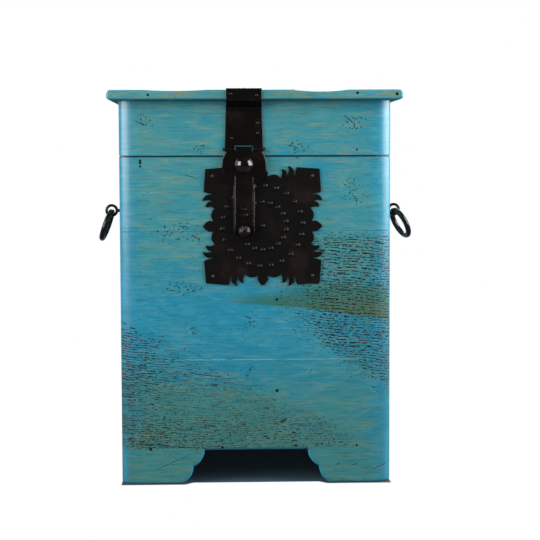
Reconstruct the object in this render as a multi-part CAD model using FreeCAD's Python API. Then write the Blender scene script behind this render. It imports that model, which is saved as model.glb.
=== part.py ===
import FreeCAD, Part
import math
import os

# A tall painted chest with an overhanging lid, wrought-iron hasp, lock plate and ring handles.
# Millimetres. X runs to the right, Y to the back, Z up. The front faces -Y, the feet stand on Z = 0,
# and the origin lies under the middle of the whole object.

V = FreeCAD.Vector

# Body
BODY_W = 500.0
BODY_D = 400.0
BODY_H = 608.0
BOARD_T = 22.0
LOW_BOARD_H = 233.0
TOP_BOARD_H = 138.0
FRONT_CORNER_W = 40.0
FRONT_CORNER_D = 18.0
BACK_CORNER_R = 8.0
FOOT_R = 6.0
JOINT_EASE = 0.8
SEAM_EASE = 1.5

# Scalloped cut-out between the front feet: two quarter-round lobes a side
CUT_TOP_W = 192.0
LOBE_W = 21.0
LOBE_H = 31.5
LOBE_COUNT = 2
CUT_EDGE_R = 6.0

# Floor inside the body, with its cleats and the blocks in the foot corners
CLEAT_OVER_CUT = 4.0
CLEAT_W = 20.0
CLEAT_H = 24.0
FLOOR_T = 14.0
FLOOR_FIT = 0.5
FLOOR_BOARDS = ("front", "middle", "back")
BLOCK_SIDE = 36.0
BLOCK_BEVEL = 14.0

# Lid
SEAM_GAP = 0.4
RIM_H = 102.0
LID_T = 18.0
LID_OVERHANG = 24.0
LID_SIDE_OVERHANG = 19.5
LID_BOARDS = ("front", "middle", "back")
LID_END_TOP_R = 8.0
LID_END_BOTTOM_R = 6.0
LID_FRONT_R = 4.0
# Hollows that wear has left in the front edge of the lid: place along the edge, half length, depth
WEAR_DIPS = ((-146.0, 58.0, 2.2), (118.0, 54.0, 3.6))
WEAR_REACH = 75.0

# Lid hinges on the back
HINGE_INSET = 100.0
HINGE_W = 66.0
HINGE_LEAF_H = 72.0
HINGE_LEAF_R = 9.0
HINGE_T = 2.2
HINGE_PIN_R = 2.2
HINGE_KNUCKLE_R = 4.6
PIN_HEAD_R = 3.6
PIN_HEAD_L = 1.8
PIN_CLEARANCE = 0.05
KNUCKLE_GAP = 0.4
LID_OPEN_DEG = 110.0
STOP_REACH = 11.0
HINGE_NAIL_X = 22.0
HINGE_NAIL_NEAR = 26.0
HINGE_NAIL_FAR = 58.0

# Ring handles
RING_R = 28.0
RING_ROD_R = 5.25
RING_STANDOFF = 28.0
RING_DROP = 107.0
RING_SEAT_GAP = 0.3
LEFT_RING_TILT = 20.0
LEFT_RING_TWIST = 3.0
RIGHT_RING_TILT = 28.0
RIGHT_RING_TWIST = 15.0
EYE_HOLE_R = 7.3
EYE_WIRE_R = 2.75
EYE_NECK_R = 3.4
EYE_COLLAR_R = 10.0
EYE_COLLAR_T = 4.0
EYE_COLLAR_BEVEL = 1.0
EYE_FIT = 0.05
ROVE_SIDE = 20.0
ROVE_T = 2.0
CLENCH_R = 6.0
CLENCH_H = 2.5
CLENCH_BEVEL = 1.0

# Hasp strap, pin and barrel
HASP_X = -20.5
HASP_OVER_SEAM = 12.6
STRAP_T = 2.5
STRAP_TOP_W = 65.0
STRAP_LOW_W = 71.0
STRAP_TOP_LEAF = 62.0
STRAP_LEAF_R = 10.0
STRAP_SLOPE_H = 13.0
STRAP_BEND_R = 3.0
STRAP_SLIT = 1.9
HASP_PIN_R = 2.2
HASP_PIN_OUT = 3.0
HASP_KNUCKLE_R = 4.6
HASP_KNUCKLE_W = 32.0
# Strap nails, from the middle of the strap: on the rim above the barrel, on the lid's edge above its
# underside, and on the lid's top behind its front edge
STRAP_RIM_NAILS = ((-22.5, 20.0), (25.0, 29.0), (25.0, 47.5))
STRAP_EDGE_NAILS = ((-24.0, 10.0), (23.0, 7.5))
STRAP_TOP_NAILS = ((0.0, 19.0), (-23.5, 48.0), (23.5, 48.0))

# Hasp tongue with its stud, rivets and lift knob
TONGUE_T = 3.0
TONGUE_L = 168.0
TONGUE_STRIP_W = 39.0
TONGUE_HEAD_R = 41.0
TONGUE_HEAD_DROP = 29.0
TONGUE_BORDER = 3.2
TONGUE_RECESS = 1.0
TONGUE_EDGE_R = 1.6
STUD_R = 17.0
STUD_H = 11.0
STUD_SHANK_R = 4.0
STUD_PEEN_R = 6.5
STUD_PEEN_T = 1.0
RIVET_DROP = 110.0
RIVET_R = 2.4
RIVET_H = 1.5
RIVET_SHANK_R = 1.5
RIVET_SPACING = 6.0
OVAL_DROP = 121.0
OVAL_W = 13.0
OVAL_H = 7.0
OVAL_T = 1.8
OVAL_ROUND = 1.0
KNOB_DROP = 150.0
KNOB_FOOT_R = 7.0
KNOB_WAIST_R = 4.5
KNOB_R = 11.0
KNOB_BALL_H = 8.5
KNOB_H = 15.0
RIVET_FIT = 0.05

# Lock plate
PLATE_X = 13.2
PLATE_DROP = 128.2
PLATE_T = 2.5
PLATE_CORNER = 105.0
# Its edge, measured out from the middle and along the side: leaf, shallow lobe, two thorns, corner ear
LEAF_TIP = 110.0
LEAF_BELLY = 98.0
LEAF_HALF_W = 10.0
LEAF_BOW = (104.6, 6.0)
LEAF_UNDER = (95.2, 10.0)
LEAF_ROOT_W = 8.5
LEAF_STEP = 1.5
LOBE_EDGE = 94.5
LOBE_MIDDLE = 21.0
LOBE_END = 33.0
LOBE_FALL = 6.5
THORN_H = (9.7, 15.5)
THORN_AT = (35.0, 46.5)
THORN_RISE = ((2.5, 36.0), (7.5, 48.2))
THORN_FALL = ((8.0, 41.8), (12.2, 54.2))
THORN_FOOT = ((-1.5, 45.0), (-0.5, 58.0))
EAR_START = (-0.8, 59.8)
EAR_HOLLOW = (6.5, 60.6)
EAR_INNER = 63.5
EAR_LIFT = 3.0
BOSS_R = 4.4
BOSS_H = 3.0
BOSS_RING_R = (44.0, 74.0)
BOSS_COUNTS = (18, 22)
BOSS_FIRST_DEG = (10.6, 4.0)
PLATE_NAIL_AT = 92.0

# Nails: forged square shanks, with a domed head on iron and a four-sided head on wood
NAIL_SIDE = 3.0
NAIL_FIT = 0.05
DOME_HEAD_R = 2.9
DOME_HEAD_H = 1.6
ROSE_HEAD_R = 4.2
ROSE_HEAD_H = 1.5
IRON_NAIL_L = 16.0
LID_NAIL_L = 46.0
LID_NAILS_PER_RAIL = 4
LID_NAIL_INSET = 40.0
SIDE_RAIL_NAIL_Y = 42.0
CARCASS_NAIL_L = 52.0
CARCASS_NAIL_SET = 4.0
CARCASS_NAIL_END = 45.0

# Places that follow from the dimensions
AXIS_OUT = HINGE_KNUCKLE_R + KNUCKLE_GAP
STOP_DEG = LID_OPEN_DEG - 90.0
STOP_HALF_T = AXIS_OUT - HINGE_T - KNUCKLE_GAP
FRONT_REACH = LID_OVERHANG + STRAP_T
BACK_REACH = AXIS_OUT + STOP_REACH * math.cos(math.radians(STOP_DEG))
FRONT_Y = FRONT_REACH - (FRONT_REACH + BODY_D + BACK_REACH) / 2
BACK_Y = FRONT_Y + BODY_D
MIDDLE_Y = (FRONT_Y + BACK_Y) / 2
SIDE_X = BODY_W / 2
INNER_X = SIDE_X - BOARD_T
HINGE_X = SIDE_X - HINGE_INSET
INNER_FRONT_Y = FRONT_Y + BOARD_T
INNER_BACK_Y = BACK_Y - BOARD_T
CUT_H = LOBE_H * LOBE_COUNT
CLEAT_Z = CUT_H + CLEAT_OVER_CUT
FLOOR_Z = CLEAT_Z + CLEAT_H
RING_Z = BODY_H - RING_DROP
PLATE_Z = BODY_H - PLATE_DROP
RIM_Z = BODY_H + SEAM_GAP
LID_Z = RIM_Z + RIM_H
LID_TOP_Z = LID_Z + LID_T
LID_FRONT_Y = FRONT_Y - LID_OVERHANG
LID_END_X = SIDE_X + LID_SIDE_OVERHANG
HINGE_AXIS_Y = BACK_Y + AXIS_OUT
HINGE_AXIS_Z = BODY_H + SEAM_GAP / 2
BARREL_Y = FRONT_Y - HASP_KNUCKLE_R - KNUCKLE_GAP
BARREL_Z = RIM_Z + HASP_OVER_SEAM
TONGUE_FRONT_Y = BARREL_Y - HASP_KNUCKLE_R
TONGUE_BACK_Y = TONGUE_FRONT_Y + TONGUE_T
STRIP_FACE_Y = TONGUE_FRONT_Y + TONGUE_RECESS
PLATE_FRONT_Y = FRONT_Y - PLATE_T
RING_PIVOT_X = SIDE_X + RING_STANDOFF
EYE_Z = RING_Z + EYE_HOLE_R - RING_ROD_R - RING_SEAT_GAP
EYE_R = EYE_HOLE_R + EYE_WIRE_R


# General shapes

def block(x0, x1, y0, y1, z0, z1):
    """A box between two corners."""
    return Part.makeBox(x1 - x0, y1 - y0, z1 - z0, V(x0, y0, z0))


def rod(radius, start, along, length):
    """A round bar from a point along a direction."""
    return Part.makeCylinder(radius, length, start, along)


def line(a, b):
    return Part.makeLine(a, b)


def arc(a, through, b):
    return Part.Arc(a, through, b).toShape()


def quarter_oval(centre, wide, deep, quarter):
    """A quarter of a level oval, no deeper than wide; quarter 0 runs from +X to +Y, and the others follow."""
    start = quarter * math.pi / 2
    return Part.ArcOfEllipse(Part.Ellipse(centre, wide, deep), start, start + math.pi / 2).toShape()


def polygon_prism(points, depth):
    """A straight prism over a closed polygon."""
    return Part.Face(Part.makePolygon(points + [points[0]])).extrude(depth)


def turned(edges, axis_point, axis):
    """A solid of revolution from a closed half profile."""
    return Part.Face(Part.Wire(edges)).revolve(axis_point, axis, 360)


def dome(radius, height, foot, out):
    """A spherical cap that stands on a foot point and looks along one direction."""
    ball_r = (radius ** 2 + height ** 2) / (2 * height)
    half = math.asin(min(1.0, radius / ball_r)) / 2
    side = V(ball_r * math.sin(half), 0, height - ball_r + ball_r * math.cos(half))
    edges = [
        line(V(0, 0, 0), V(radius, 0, 0)),
        arc(V(radius, 0, 0), side, V(0, 0, height)),
        line(V(0, 0, height), V(0, 0, 0)),
    ]
    cap = turned(edges, V(0, 0, 0), V(0, 0, 1))
    cap.Placement = FreeCAD.Placement(foot, FreeCAD.Rotation(V(0, 0, 1), out))
    return cap


def edges_where(shape, wanted):
    """The edges whose middle point passes a test."""
    return [e for e in shape.Edges if wanted(e.valueAt((e.FirstParameter + e.LastParameter) / 2))]


def close(a, b):
    return abs(a - b) < 0.01


# Nails

def nail_hole(at, into, length):
    """The hole that one nail needs, square like its shank."""
    side = NAIL_SIDE + 2 * NAIL_FIT
    hole = Part.makeBox(side, side, length + NAIL_FIT, V(-side / 2, -side / 2, 0))
    hole.Placement = FreeCAD.Placement(at, FreeCAD.Rotation(V(0, 0, 1), into))
    return hole


def rose_head():
    """A four-sided hammered head that stands on Z = 0 and looks along -Z."""
    corners = [V(ROSE_HEAD_R * x, ROSE_HEAD_R * y, 0) for x, y in ((1, 1), (-1, 1), (-1, -1), (1, -1))]
    crown = [V(c.x / 3, c.y / 3, -ROSE_HEAD_H) for c in corners]
    outlines = [Part.makePolygon(ring + [ring[0]]) for ring in (corners, crown)]
    return Part.makeLoft(outlines, True, True)


def nail(at, into, length, head):
    """A nail driven from a surface point along a direction."""
    shank = Part.makeBox(NAIL_SIDE, NAIL_SIDE, length, V(-NAIL_SIDE / 2, -NAIL_SIDE / 2, 0))
    if head == "dome":
        whole = shank.fuse(dome(DOME_HEAD_R, DOME_HEAD_H, V(0, 0, 0), V(0, 0, -1))).removeSplitter().Solids[0]
    elif head == "rose":
        whole = shank.fuse(rose_head()).removeSplitter().Solids[0]
    else:
        whole = shank
    whole.Placement = FreeCAD.Placement(at, FreeCAD.Rotation(V(0, 0, 1), into))
    return whole


def nails(places, head):
    """A group of nails, each a solid of its own."""
    return Part.makeCompound([nail(at, into, length, head) for at, into, length in places])


def drill(shape, *groups):
    """Cut the holes of every nail that reaches a piece."""
    holes = [nail_hole(*place) for places in groups for place in places]
    reaching = [h for h in holes if h.BoundBox.intersect(shape.BoundBox)]
    return shape.cut(reaching) if reaching else shape


TOP_JOINT_Z = BODY_H - TOP_BOARD_H
ROWS = {"bottom": (0.0, LOW_BOARD_H), "middle": (LOW_BOARD_H, TOP_JOINT_Z), "top": (TOP_JOINT_Z, BODY_H)}
INTO_BACK = V(0, 1, 0)
INTO_FRONT = V(0, -1, 0)
INTO_DOWN = V(0, 0, -1)


def front_fall(in_from_side):
    """How far the rounded front corner lies behind the flat of the front, at a distance in from the side."""
    share = max(0.0, 1 - in_from_side / FRONT_CORNER_W)
    return FRONT_CORNER_D * (1 - math.sqrt(1 - share ** 2))


def carcass_nail_places():
    """Front nails are headless, set under the surface and filled over; back nails keep their heads."""
    front = []
    back = []
    front_nail_y = FRONT_Y + front_fall((BOARD_T - NAIL_SIDE) / 2) + CARCASS_NAIL_SET
    for low, high in ROWS.values():
        for z in (low + CARCASS_NAIL_END, high - CARCASS_NAIL_END):
            for x in (BOARD_T / 2 - SIDE_X, SIDE_X - BOARD_T / 2):
                front.append((V(x, front_nail_y, z), INTO_BACK, CARCASS_NAIL_L))
                back.append((V(x, BACK_Y, z), INTO_FRONT, CARCASS_NAIL_L))
    return front, back


def lid_nail_places():
    """Down through the lid boards into the middle of the rails."""
    step = (BODY_W - 2 * LID_NAIL_INSET) / (LID_NAILS_PER_RAIL - 1)
    places = []
    for k in range(LID_NAILS_PER_RAIL):
        for y in (FRONT_Y + BOARD_T / 2, BACK_Y - BOARD_T / 2):
            places.append((V(LID_NAIL_INSET - SIDE_X + k * step, y, LID_TOP_Z), INTO_DOWN, LID_NAIL_L))
    middle = (LID_FRONT_Y + BACK_Y) / 2
    for x in (BOARD_T / 2 - SIDE_X, SIDE_X - BOARD_T / 2):
        for y in (middle - SIDE_RAIL_NAIL_Y, middle + SIDE_RAIL_NAIL_Y):
            places.append((V(x, y, LID_TOP_Z), INTO_DOWN, LID_NAIL_L))
    return places


def hinge_nail_places(up):
    """Three nails in a leaf: two by the knuckles and one near its free end."""
    near = HINGE_AXIS_Z + up * HINGE_NAIL_NEAR
    far = HINGE_AXIS_Z + up * HINGE_NAIL_FAR
    places = []
    for middle in (-HINGE_X, HINGE_X):
        for x, z in ((-HINGE_NAIL_X, near), (HINGE_NAIL_X, near), (0, far)):
            places.append((V(middle + x, BACK_Y + HINGE_T, z), INTO_FRONT, HINGE_T + IRON_NAIL_L))
    return places


def strap_nail_places():
    """On the rim, on the edge of the lid and on its top, where the strap lies on wood."""
    length = STRAP_T + IRON_NAIL_L
    places = []
    for x, up in STRAP_RIM_NAILS:
        places.append((V(HASP_X + x, FRONT_Y - STRAP_T, BARREL_Z + up), INTO_BACK, length))
    for x, up in STRAP_EDGE_NAILS:
        places.append((V(HASP_X + x, LID_FRONT_Y - STRAP_T, LID_Z + up), INTO_BACK, length))
    for x, back in STRAP_TOP_NAILS:
        places.append((V(HASP_X + x, LID_FRONT_Y + back, LID_TOP_Z + STRAP_T), INTO_DOWN, length))
    return places


def plate_nail_places():
    """One nail in each corner block of the lock plate."""
    at = PLATE_NAIL_AT
    return [
        (V(PLATE_X + x, PLATE_FRONT_Y, PLATE_Z + z), INTO_BACK, PLATE_T + IRON_NAIL_L)
        for x, z in ((-at, -at), (at, -at), (at, at), (-at, at))
    ]


FRONT_NAILS, BACK_NAILS = carcass_nail_places()
LID_NAILS = lid_nail_places()
CHEST_HINGE_NAILS = hinge_nail_places(-1)
LID_HINGE_NAILS = hinge_nail_places(1)
STRAP_NAILS = strap_nail_places()
PLATE_NAILS = plate_nail_places()


# Boards

def cross_board(outer_y, inner_y, corner_w, corner_d, low, high):
    """A board across the front or back, with its outer upright corners rounded to quarter ovals."""
    way = 1 if inner_y > outer_y else -1
    left, right = (2, 3) if way > 0 else (1, 0)
    bend_y = outer_y + way * corner_d
    flat_x = SIDE_X - corner_w
    edges = [
        line(V(SIDE_X, inner_y, low), V(-SIDE_X, inner_y, low)),
        line(V(-SIDE_X, inner_y, low), V(-SIDE_X, bend_y, low)),
        quarter_oval(V(-flat_x, bend_y, low), corner_w, corner_d, left),
        line(V(-flat_x, outer_y, low), V(flat_x, outer_y, low)),
        quarter_oval(V(flat_x, bend_y, low), corner_w, corner_d, right),
        line(V(SIDE_X, bend_y, low), V(SIDE_X, inner_y, low)),
    ]
    return Part.Face(Part.Wire(edges)).extrude(V(0, 0, high - low))


def end_board(way, low, high):
    """A board along a side, between the front and the back: way is -1 left and 1 right."""
    inner, outer = sorted((way * INNER_X, way * SIDE_X))
    return block(inner, outer, INNER_FRONT_Y, INNER_BACK_Y, low, high)


def wall_boards(low, high):
    """The four boards of one row: front, back, left and right."""
    return {
        "front": cross_board(FRONT_Y, INNER_FRONT_Y, FRONT_CORNER_W, FRONT_CORNER_D, low, high),
        "back": cross_board(BACK_Y, INNER_BACK_Y, BACK_CORNER_R, BACK_CORNER_R, low, high),
        "left": end_board(-1, low, high),
        "right": end_board(1, low, high),
    }


def outer_edges(board, z):
    """The edges of a wall board at one height that look outwards."""

    def outside(p):
        inside_x = abs(p.x) < SIDE_X - BOARD_T / 2
        inside_y = INNER_FRONT_Y - BOARD_T / 2 < p.y < INNER_BACK_Y + BOARD_T / 2
        ends = close(p.y, INNER_FRONT_Y) or close(p.y, INNER_BACK_Y)
        return close(p.z, z) and not (inside_x and inside_y) and not ends

    return edges_where(board, outside)


def ease(board, low, low_ease, high, high_ease):
    """Take the sharp outer edges off the bottom and the top of a wall board."""
    for z, size in ((low, low_ease), (high, high_ease)):
        board = board.makeChamfer(size, outer_edges(board, z))
    return board


def lobes():
    """The rounded lobes beside the cut-out: side, start of the curve, its radius, middle and end."""
    lobe_r = (LOBE_W ** 2 + LOBE_H ** 2) / (2 * LOBE_W)
    sweep = math.asin(LOBE_H / lobe_r)
    found = []
    for way in (1, -1):
        for k in range(LOBE_COUNT):
            x = CUT_TOP_W / 2 + k * LOBE_W
            z = CUT_H - k * LOBE_H
            found.append((way, x, z, lobe_r, sweep))
    return found


def cut_out():
    """The space between the front feet, with rounded lobes stepping down on both sides."""
    edges = []
    for way, x, z, lobe_r, sweep in lobes():
        middle_x = x + lobe_r - lobe_r * math.cos(sweep / 2)
        through = V(way * middle_x, FRONT_Y, z - lobe_r * math.sin(sweep / 2))
        end = V(way * (x + LOBE_W), FRONT_Y, z - LOBE_H)
        edges.append(arc(V(way * x, FRONT_Y, z), through, end))
    foot_x = CUT_TOP_W / 2 + LOBE_COUNT * LOBE_W
    edges.append(line(V(-CUT_TOP_W / 2, FRONT_Y, CUT_H), V(CUT_TOP_W / 2, FRONT_Y, CUT_H)))
    edges.append(line(V(-foot_x, FRONT_Y, 0), V(foot_x, FRONT_Y, 0)))
    outline = Part.Wire(Part.__sortEdges__(edges))
    return Part.Face(outline).extrude(V(0, BOARD_T, 0))


def rounding_profile(edge, outwards):
    """What a rounding bit takes off a front edge: a corner that is open at the front and outwards."""
    r = CUT_EDGE_R
    into = V(0, r, 0)
    inwards = outwards * -r
    bend = edge + inwards + into + (outwards - V(0, 1, 0)) * (r * math.sqrt(0.5))
    corners = [edge + inwards - into, edge - inwards - into, edge - inwards + into, edge + into]
    edges = [line(a, b) for a, b in zip(corners, corners[1:])]
    edges.append(arc(edge + into, bend, edge + inwards))
    edges.append(line(edge + inwards, corners[0]))
    return Part.Face(Part.Wire(edges))


def cut_roundings():
    """The rounding bit's path along the top of the cut-out and down its lobes."""
    top = rounding_profile(V(-CUT_TOP_W / 2, FRONT_Y, CUT_H), V(0, 0, -1))
    tools = [top.extrude(V(CUT_TOP_W, 0, 0))]
    for way, x, z, lobe_r, sweep in lobes():
        profile = rounding_profile(V(way * x, FRONT_Y, z), V(-way, 0, 0))
        centre = V(way * (x + lobe_r), FRONT_Y, z)
        tools.append(profile.revolve(centre, V(0, -way, 0), math.degrees(sweep)))
    return tools


def body_boards():
    """Three boards on each of the four walls."""
    boards = {}
    hole_r = EYE_NECK_R + EYE_FIT
    eye_holes = [rod(hole_r, V(way * INNER_X, MIDDLE_Y, EYE_Z), V(way, 0, 0), BOARD_T) for way in (-1, 1)]
    for row, (low, high) in ROWS.items():
        for wall, board in wall_boards(low, high).items():
            if row == "bottom":
                board = board.makeFillet(FOOT_R, outer_edges(board, low))
                board = board.makeChamfer(JOINT_EASE, outer_edges(board, high))
            else:
                board = ease(board, low, JOINT_EASE, high, SEAM_EASE if row == "top" else JOINT_EASE)
            if wall == "front" and row == "bottom":
                board = board.cut([cut_out()] + cut_roundings())
            if wall in ("front", "back"):
                name = wall + "_board_" + row
            else:
                name = wall + "_side_board_" + row
                board = board.cut(eye_holes)
            boards[name] = drill(board, FRONT_NAILS, BACK_NAILS, PLATE_NAILS, CHEST_HINGE_NAILS)
    return boards


def floor_pieces():
    """Cleats round the inside, floor boards on them and a block under each corner."""
    pieces = {}
    cleats = {
        "front": (-INNER_X, INNER_X, INNER_FRONT_Y, INNER_FRONT_Y + CLEAT_W),
        "back": (-INNER_X, INNER_X, INNER_BACK_Y - CLEAT_W, INNER_BACK_Y),
        "left": (-INNER_X, CLEAT_W - INNER_X, INNER_FRONT_Y + CLEAT_W, INNER_BACK_Y - CLEAT_W),
        "right": (INNER_X - CLEAT_W, INNER_X, INNER_FRONT_Y + CLEAT_W, INNER_BACK_Y - CLEAT_W),
    }
    for name, plan in cleats.items():
        pieces["floor_cleat_" + name] = block(*plan, CLEAT_Z, FLOOR_Z)
    board_d = (INNER_BACK_Y - INNER_FRONT_Y - 2 * FLOOR_FIT) / len(FLOOR_BOARDS)
    for k, name in enumerate(FLOOR_BOARDS):
        y = INNER_FRONT_Y + FLOOR_FIT + k * board_d
        x = INNER_X - FLOOR_FIT
        pieces["floor_board_" + name] = block(-x, x, y, y + board_d, FLOOR_Z, FLOOR_Z + FLOOR_T)
    for end, corner_y, into in (("front", INNER_FRONT_Y, 1), ("back", INNER_BACK_Y, -1)):
        for side, way in (("left", -1), ("right", 1)):
            steps = ((0, 0), (BLOCK_SIDE, 0), (BLOCK_SIDE, BLOCK_SIDE - BLOCK_BEVEL))
            steps += ((BLOCK_SIDE - BLOCK_BEVEL, BLOCK_SIDE), (0, BLOCK_SIDE))
            corners = [V(way * (INNER_X - a), corner_y + into * b, 0) for a, b in steps]
            pieces["foot_block_" + end + "_" + side] = polygon_prism(corners, V(0, 0, CLEAT_Z))
    return pieces


def worn_dip(x, half_length, depth):
    """The tool that wears a hollow into the lid, deepest at its front edge and gone at WEAR_REACH."""
    radius = (half_length ** 2 + depth ** 2) / (2 * depth)
    lean = math.atan2(depth, WEAR_REACH)
    along = V(0, math.cos(lean), math.sin(lean))
    out = V(0, -math.sin(lean), math.cos(lean))
    edge = V(x, LID_FRONT_Y, LID_TOP_Z - depth)
    return rod(radius, edge + out * radius - along * LID_OVERHANG, along, 2 * WEAR_REACH)


def lid_pieces():
    """Rails round the rim, and boards that run left to right over them."""
    pieces = {}
    for wall, rail in wall_boards(RIM_Z, LID_Z).items():
        rail = ease(rail, RIM_Z, SEAM_EASE, LID_Z, JOINT_EASE)
        pieces["lid_rail_" + wall] = drill(rail, LID_NAILS, STRAP_NAILS, LID_HINGE_NAILS)
    board_d = (BACK_Y - LID_FRONT_Y) / len(LID_BOARDS)
    for k, name in enumerate(LID_BOARDS):
        y = LID_FRONT_Y + k * board_d
        board = block(-LID_END_X, LID_END_X, y, y + board_d, LID_Z, LID_TOP_Z)
        ends = [e for e in board.Edges if close(e.Length, board_d)]
        upper = [e for e in ends if close(e.CenterOfMass.z, LID_TOP_Z)]
        board = board.makeFillet(LID_END_TOP_R, upper)
        lower = [e for e in board.Edges if close(e.Length, board_d) and close(e.CenterOfMass.z, LID_Z)]
        lower = [e for e in lower if close(abs(e.CenterOfMass.x), LID_END_X)]
        board = board.makeFillet(LID_END_BOTTOM_R, lower)
        if name == LID_BOARDS[0]:
            board = board.cut([worn_dip(*dip) for dip in WEAR_DIPS])
            rim = [e for e in board.Edges if close(e.CenterOfMass.y, LID_FRONT_Y)]
            board = board.makeFillet(LID_FRONT_R, rim)
        joints = [j for j in (y, y + board_d) if not close(j, LID_FRONT_Y)]
        top = [e for e in board.Edges if close(e.CenterOfMass.z, LID_TOP_Z)]
        meeting = [e for e in top if any(close(e.CenterOfMass.y, j) for j in joints)]
        board = board.makeChamfer(JOINT_EASE, meeting)
        pieces["lid_board_" + name] = drill(board, LID_NAILS, STRAP_NAILS)
    return pieces


# Lid hinges

def hinge_leaf(middle, up):
    """A leaf on the back, with the outer knuckles on the chest (up = -1) or the inner one on the lid."""
    third = HINGE_W / 3
    gap = KNUCKLE_GAP / 2
    if up < 0:
        spans = ((-HINGE_W / 2, -third / 2 - gap), (third / 2 + gap, HINGE_W / 2))
    else:
        spans = ((gap - third / 2, third / 2 - gap),)
    near = HINGE_AXIS_Z + up * (HINGE_KNUCKLE_R + KNUCKLE_GAP)
    far = HINGE_AXIS_Z + up * HINGE_LEAF_H
    back = BACK_Y + HINGE_T
    plate = block(middle - HINGE_W / 2, middle + HINGE_W / 2, BACK_Y, back, min(near, far), max(near, far))
    corners = [e for e in plate.Edges if close(e.Length, HINGE_T) and close(e.CenterOfMass.z, far)]
    leaf = plate.makeFillet(HINGE_LEAF_R, corners)
    knuckles = []
    for start, end in spans:
        low, high = sorted((HINGE_AXIS_Z, near))
        knuckles.append(block(middle + start, middle + end, BACK_Y, back, low, high))
        axis_start = V(middle + start, HINGE_AXIS_Y, HINGE_AXIS_Z)
        knuckles.append(rod(HINGE_KNUCKLE_R, axis_start, V(1, 0, 0), end - start))
        if up > 0:
            knuckles.append(stop_lug(middle + start, middle + end))
    bore_start = V(middle - HINGE_W, HINGE_AXIS_Y, HINGE_AXIS_Z)
    bore = rod(HINGE_PIN_R + PIN_CLEARANCE, bore_start, V(1, 0, 0), 2 * HINGE_W)
    return leaf.fuse(knuckles).removeSplitter().cut(bore)


def stop_lug(start, end):
    """The heel of the lid's knuckle, which meets the chest leaf when the lid is fully open."""
    lug = block(start, end, 0, STOP_REACH, -STOP_HALF_T, STOP_HALF_T)
    lug.rotate(V(0, 0, 0), V(1, 0, 0), STOP_DEG)
    lug.translate(V(0, HINGE_AXIS_Y, HINGE_AXIS_Z))
    return lug


def headed_pin(start, length, radius):
    """A pin along X with a peened head past each end of its barrel."""
    head_x = start.x - PIN_HEAD_L
    pin = rod(radius, start, V(1, 0, 0), length)
    left = rod(PIN_HEAD_R, V(head_x, start.y, start.z), V(1, 0, 0), PIN_HEAD_L)
    right = rod(PIN_HEAD_R, V(start.x + length, start.y, start.z), V(1, 0, 0), PIN_HEAD_L)
    return pin.fuse([left, right]).removeSplitter()


def hinge_pieces():
    pieces = {}
    for name, middle in (("left", -HINGE_X), ("right", HINGE_X)):
        pieces[name + "_hinge_chest_leaf"] = drill(hinge_leaf(middle, -1), CHEST_HINGE_NAILS)
        pieces[name + "_hinge_lid_leaf"] = drill(hinge_leaf(middle, 1), LID_HINGE_NAILS)
        start = V(middle - HINGE_W / 2 - PIN_CLEARANCE, HINGE_AXIS_Y, HINGE_AXIS_Z)
        pieces[name + "_hinge_pin"] = headed_pin(start, HINGE_W + 2 * PIN_CLEARANCE, HINGE_PIN_R)
    return pieces


# Ring handles

def ring(way, tilt, twist):
    """A ring that hangs in its eye, its foot swung out by the tilt and turned by the twist."""
    hoop = Part.makeTorus(RING_R, RING_ROD_R, V(0, 0, -RING_R), V(1, 0, 0))
    hoop.rotate(V(0, 0, 0), V(0, 0, 1), way * twist)
    hoop.rotate(V(0, 0, 0), V(0, 1, 0), -way * tilt)
    hoop.translate(V(way * RING_PIVOT_X, MIDDLE_Y, RING_Z))
    return hoop


def ring_eye(way):
    """A forged eye: hoop, neck, collar on the side, and a shank clenched over the rove inside."""
    centre = V(way * RING_PIVOT_X, MIDDLE_Y, EYE_Z)
    hoop = Part.makeTorus(EYE_R, EYE_WIRE_R, centre, V(0, 1, 0))
    neck_end = RING_STANDOFF - EYE_R
    inside = -BOARD_T - ROVE_T - EYE_FIT
    profile = (
        (neck_end, 0), (neck_end, EYE_NECK_R), (EYE_COLLAR_T, EYE_NECK_R),
        (EYE_COLLAR_T - EYE_COLLAR_BEVEL, EYE_COLLAR_R), (0, EYE_COLLAR_R), (0, EYE_NECK_R),
        (inside, EYE_NECK_R), (inside, CLENCH_R),
        (inside - CLENCH_H, CLENCH_R - CLENCH_BEVEL), (inside - CLENCH_H, 0),
    )
    points = [V(way * (SIDE_X + x), MIDDLE_Y, EYE_Z + r) for x, r in profile]
    outline = Part.Face(Part.makePolygon(points + [points[0]]))
    stem = outline.revolve(V(0, MIDDLE_Y, EYE_Z), V(1, 0, 0), 360)
    return hoop.fuse(stem).removeSplitter()


def rove(way):
    """The square washer inside the chest under the clenched shank."""
    inner, outer = sorted((way * INNER_X, way * (INNER_X - ROVE_T)))
    half = ROVE_SIDE / 2
    plate = block(inner, outer, MIDDLE_Y - half, MIDDLE_Y + half, EYE_Z - half, EYE_Z + half)
    return plate.cut(rod(EYE_NECK_R + EYE_FIT, V(inner - ROVE_T, MIDDLE_Y, EYE_Z), V(1, 0, 0), 3 * ROVE_T))


def ring_pieces():
    return {
        "left_ring": ring(-1, LEFT_RING_TILT, LEFT_RING_TWIST),
        "right_ring": ring(1, RIGHT_RING_TILT, RIGHT_RING_TWIST),
        "left_ring_eye": ring_eye(-1),
        "right_ring_eye": ring_eye(1),
        "ring_eye_roves": Part.makeCompound([rove(-1), rove(1)]),
    }


# Hasp

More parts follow.
